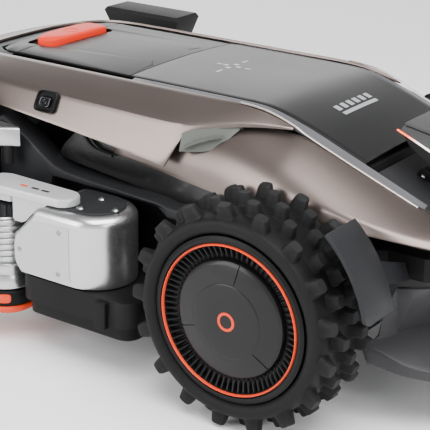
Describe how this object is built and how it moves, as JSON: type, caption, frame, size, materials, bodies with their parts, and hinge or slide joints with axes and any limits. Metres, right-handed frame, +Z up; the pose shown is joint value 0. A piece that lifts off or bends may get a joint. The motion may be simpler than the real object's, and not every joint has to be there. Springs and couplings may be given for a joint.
{
  "type": "robotic lawn mower",
  "caption": "Robotic lawn mower with lugged drive wheels, lifting hatch, stop button, camera head, rotary cutting deck and a swing-out edge trimmer.",
  "frame": {"origin": "on the ground, under the middle of the bounding box", "axes": "+Z up, +Y towards the rear, nose at -Y, the edge trimmer on the -X side (the right side of the machine)"},
  "size_m": [0.5664, 0.8714, 0.3159],
  "materials": {
    "tyre_rubber": "coarse moulded rubber, matt",
    "black_plastic": "fine moulded grain",
    "orange_plastic": "satin gloss",
    "hub_grey": "satin",
    "cast_aluminium": "bead-blasted and satin",
    "grey_plastic": "fine moulded grain",
    "cover_plastic": "satin",
    "trim_grey": "satin",
    "champagne_metal": "satin metallic lacquer",
    "lens_black": "polished",
    "head_grey": "fine moulded grain",
    "steel": "brushed"
  },
  "bodies": {
    "chassis": {"hub_motor_front_R": "cast_aluminium", "hub_motor_front_L": "cast_aluminium", "hub_motor_rear_R": "cast_aluminium", "hub_motor_rear_L": "cast_aluminium", "chassis_tub": "black_plastic", "body_core": "black_plastic", "battery_pack": "grey_plastic", "hood_cover": "cover_plastic", "rear_cover": "cover_plastic", "trim_strip_R": "trim_grey", "trim_strip_L": "trim_grey", "side_shell": "champagne_metal", "tail_band": "grey_plastic", "front_shell": "champagne_metal", "nose_deck": "grey_plastic", "side_fairing_R": "grey_plastic", "side_fairing_L": "grey_plastic", "side_camera_R": "lens_black", "side_camera_L": "lens_black", "camera_head": "head_grey", "camera_head_cap": "head_grey", "head_mount": "black_plastic", "vision_window": "lens_black", "front_bumper": "grey_plastic", "front_mudguard_R": "grey_plastic", "front_mudguard_L": "grey_plastic", "rear_mudguard_R": "grey_plastic", "rear_mudguard_L": "grey_plastic", "rear_bracket_R": "cast_aluminium", "rear_bracket_L": "cast_aluminium", "trimmer_base": "black_plastic"},
    "wheel_front_right": {"tyre_FR": "tyre_rubber", "rim_FR": "black_plastic", "accent_ring_FR": "orange_plastic", "hub_cap_FR": "hub_grey"},
    "wheel_front_left": {"tyre_FL": "tyre_rubber", "rim_FL": "black_plastic", "accent_ring_FL": "orange_plastic", "hub_cap_FL": "hub_grey"},
    "wheel_rear_right": {"tyre_RR": "tyre_rubber", "rim_RR": "black_plastic", "accent_ring_RR": "orange_plastic", "hub_cap_RR": "hub_grey"},
    "wheel_rear_left": {"tyre_RL": "tyre_rubber", "rim_RL": "black_plastic", "accent_ring_RL": "orange_plastic", "hub_cap_RL": "hub_grey"},
    "stop_button": {"stop_button": "orange_plastic"},
    "hatch": {"hatch_panel": "cover_plastic"},
    "trimmer_arm": {"arm_housing": "cast_aluminium", "arm_lid": "grey_plastic", "arm_bridge": "cast_aluminium", "arm_motor": "cast_aluminium"},
    "trimmer_head": {"trimmer_spool": "black_plastic", "trimmer_skid": "orange_plastic"},
    "cutting_deck": {"deck_plate": "grey_plastic"},
    "cutter_right": {"cutter_disc_R": "steel", "blade_R": "steel"},
    "cutter_left": {"cutter_disc_L": "steel", "blade_L": "steel"}
  },
  "joints": [
    {"name": "wheel_front_right_spin", "type": "hinge", "parent": "chassis", "child": "wheel_front_right", "pos_m": [-0.236, -0.2012, 0.127], "axis": [1, 0, 0], "continuous": true},
    {"name": "wheel_front_left_spin", "type": "hinge", "parent": "chassis", "child": "wheel_front_left", "pos_m": [0.236, -0.2012, 0.127], "axis": [1, 0, 0], "continuous": true},
    {"name": "wheel_rear_right_spin", "type": "hinge", "parent": "chassis", "child": "wheel_rear_right", "pos_m": [-0.236, 0.3088, 0.127], "axis": [1, 0, 0], "continuous": true},
    {"name": "wheel_rear_left_spin", "type": "hinge", "parent": "chassis", "child": "wheel_rear_left", "pos_m": [0.236, 0.3088, 0.127], "axis": [1, 0, 0], "continuous": true},
    {"name": "stop_press", "type": "slide", "parent": "chassis", "child": "stop_button", "axis": [0, 0, -1], "range_m": [0, 0.004], "stiffness_N_per_m": 1500, "springref_m": -0.003},
    {"name": "hatch_hinge", "type": "hinge", "parent": "chassis", "child": "hatch", "pos_m": [0, 0.0608, 0.3095], "axis": [1, 0, 0], "range_deg": [0, 80]},
    {"name": "trimmer_swing", "type": "hinge", "parent": "chassis", "child": "trimmer_arm", "pos_m": [-0.215, 0.0228, 0.14], "axis": [0, 0, 1], "range_deg": [0, 75]},
    {"name": "trimmer_spin", "type": "hinge", "parent": "trimmer_arm", "child": "trimmer_head", "pos_m": [-0.235, 0.1438, 0.052], "axis": [0, 0, 1], "continuous": true},
    {"name": "deck_lift", "type": "slide", "parent": "chassis", "child": "cutting_deck", "axis": [0, 0, 1], "range_m": [-0.02, 0.02]},
    {"name": "cutter_right_spin", "type": "hinge", "parent": "cutting_deck", "child": "cutter_right", "pos_m": [-0.072, 0.0488, 0.075], "axis": [0, 0, 1], "continuous": true},
    {"name": "cutter_left_spin", "type": "hinge", "parent": "cutting_deck", "child": "cutter_left", "pos_m": [0.072, 0.0488, 0.075], "axis": [0, 0, 1], "continuous": true}
  ]
}
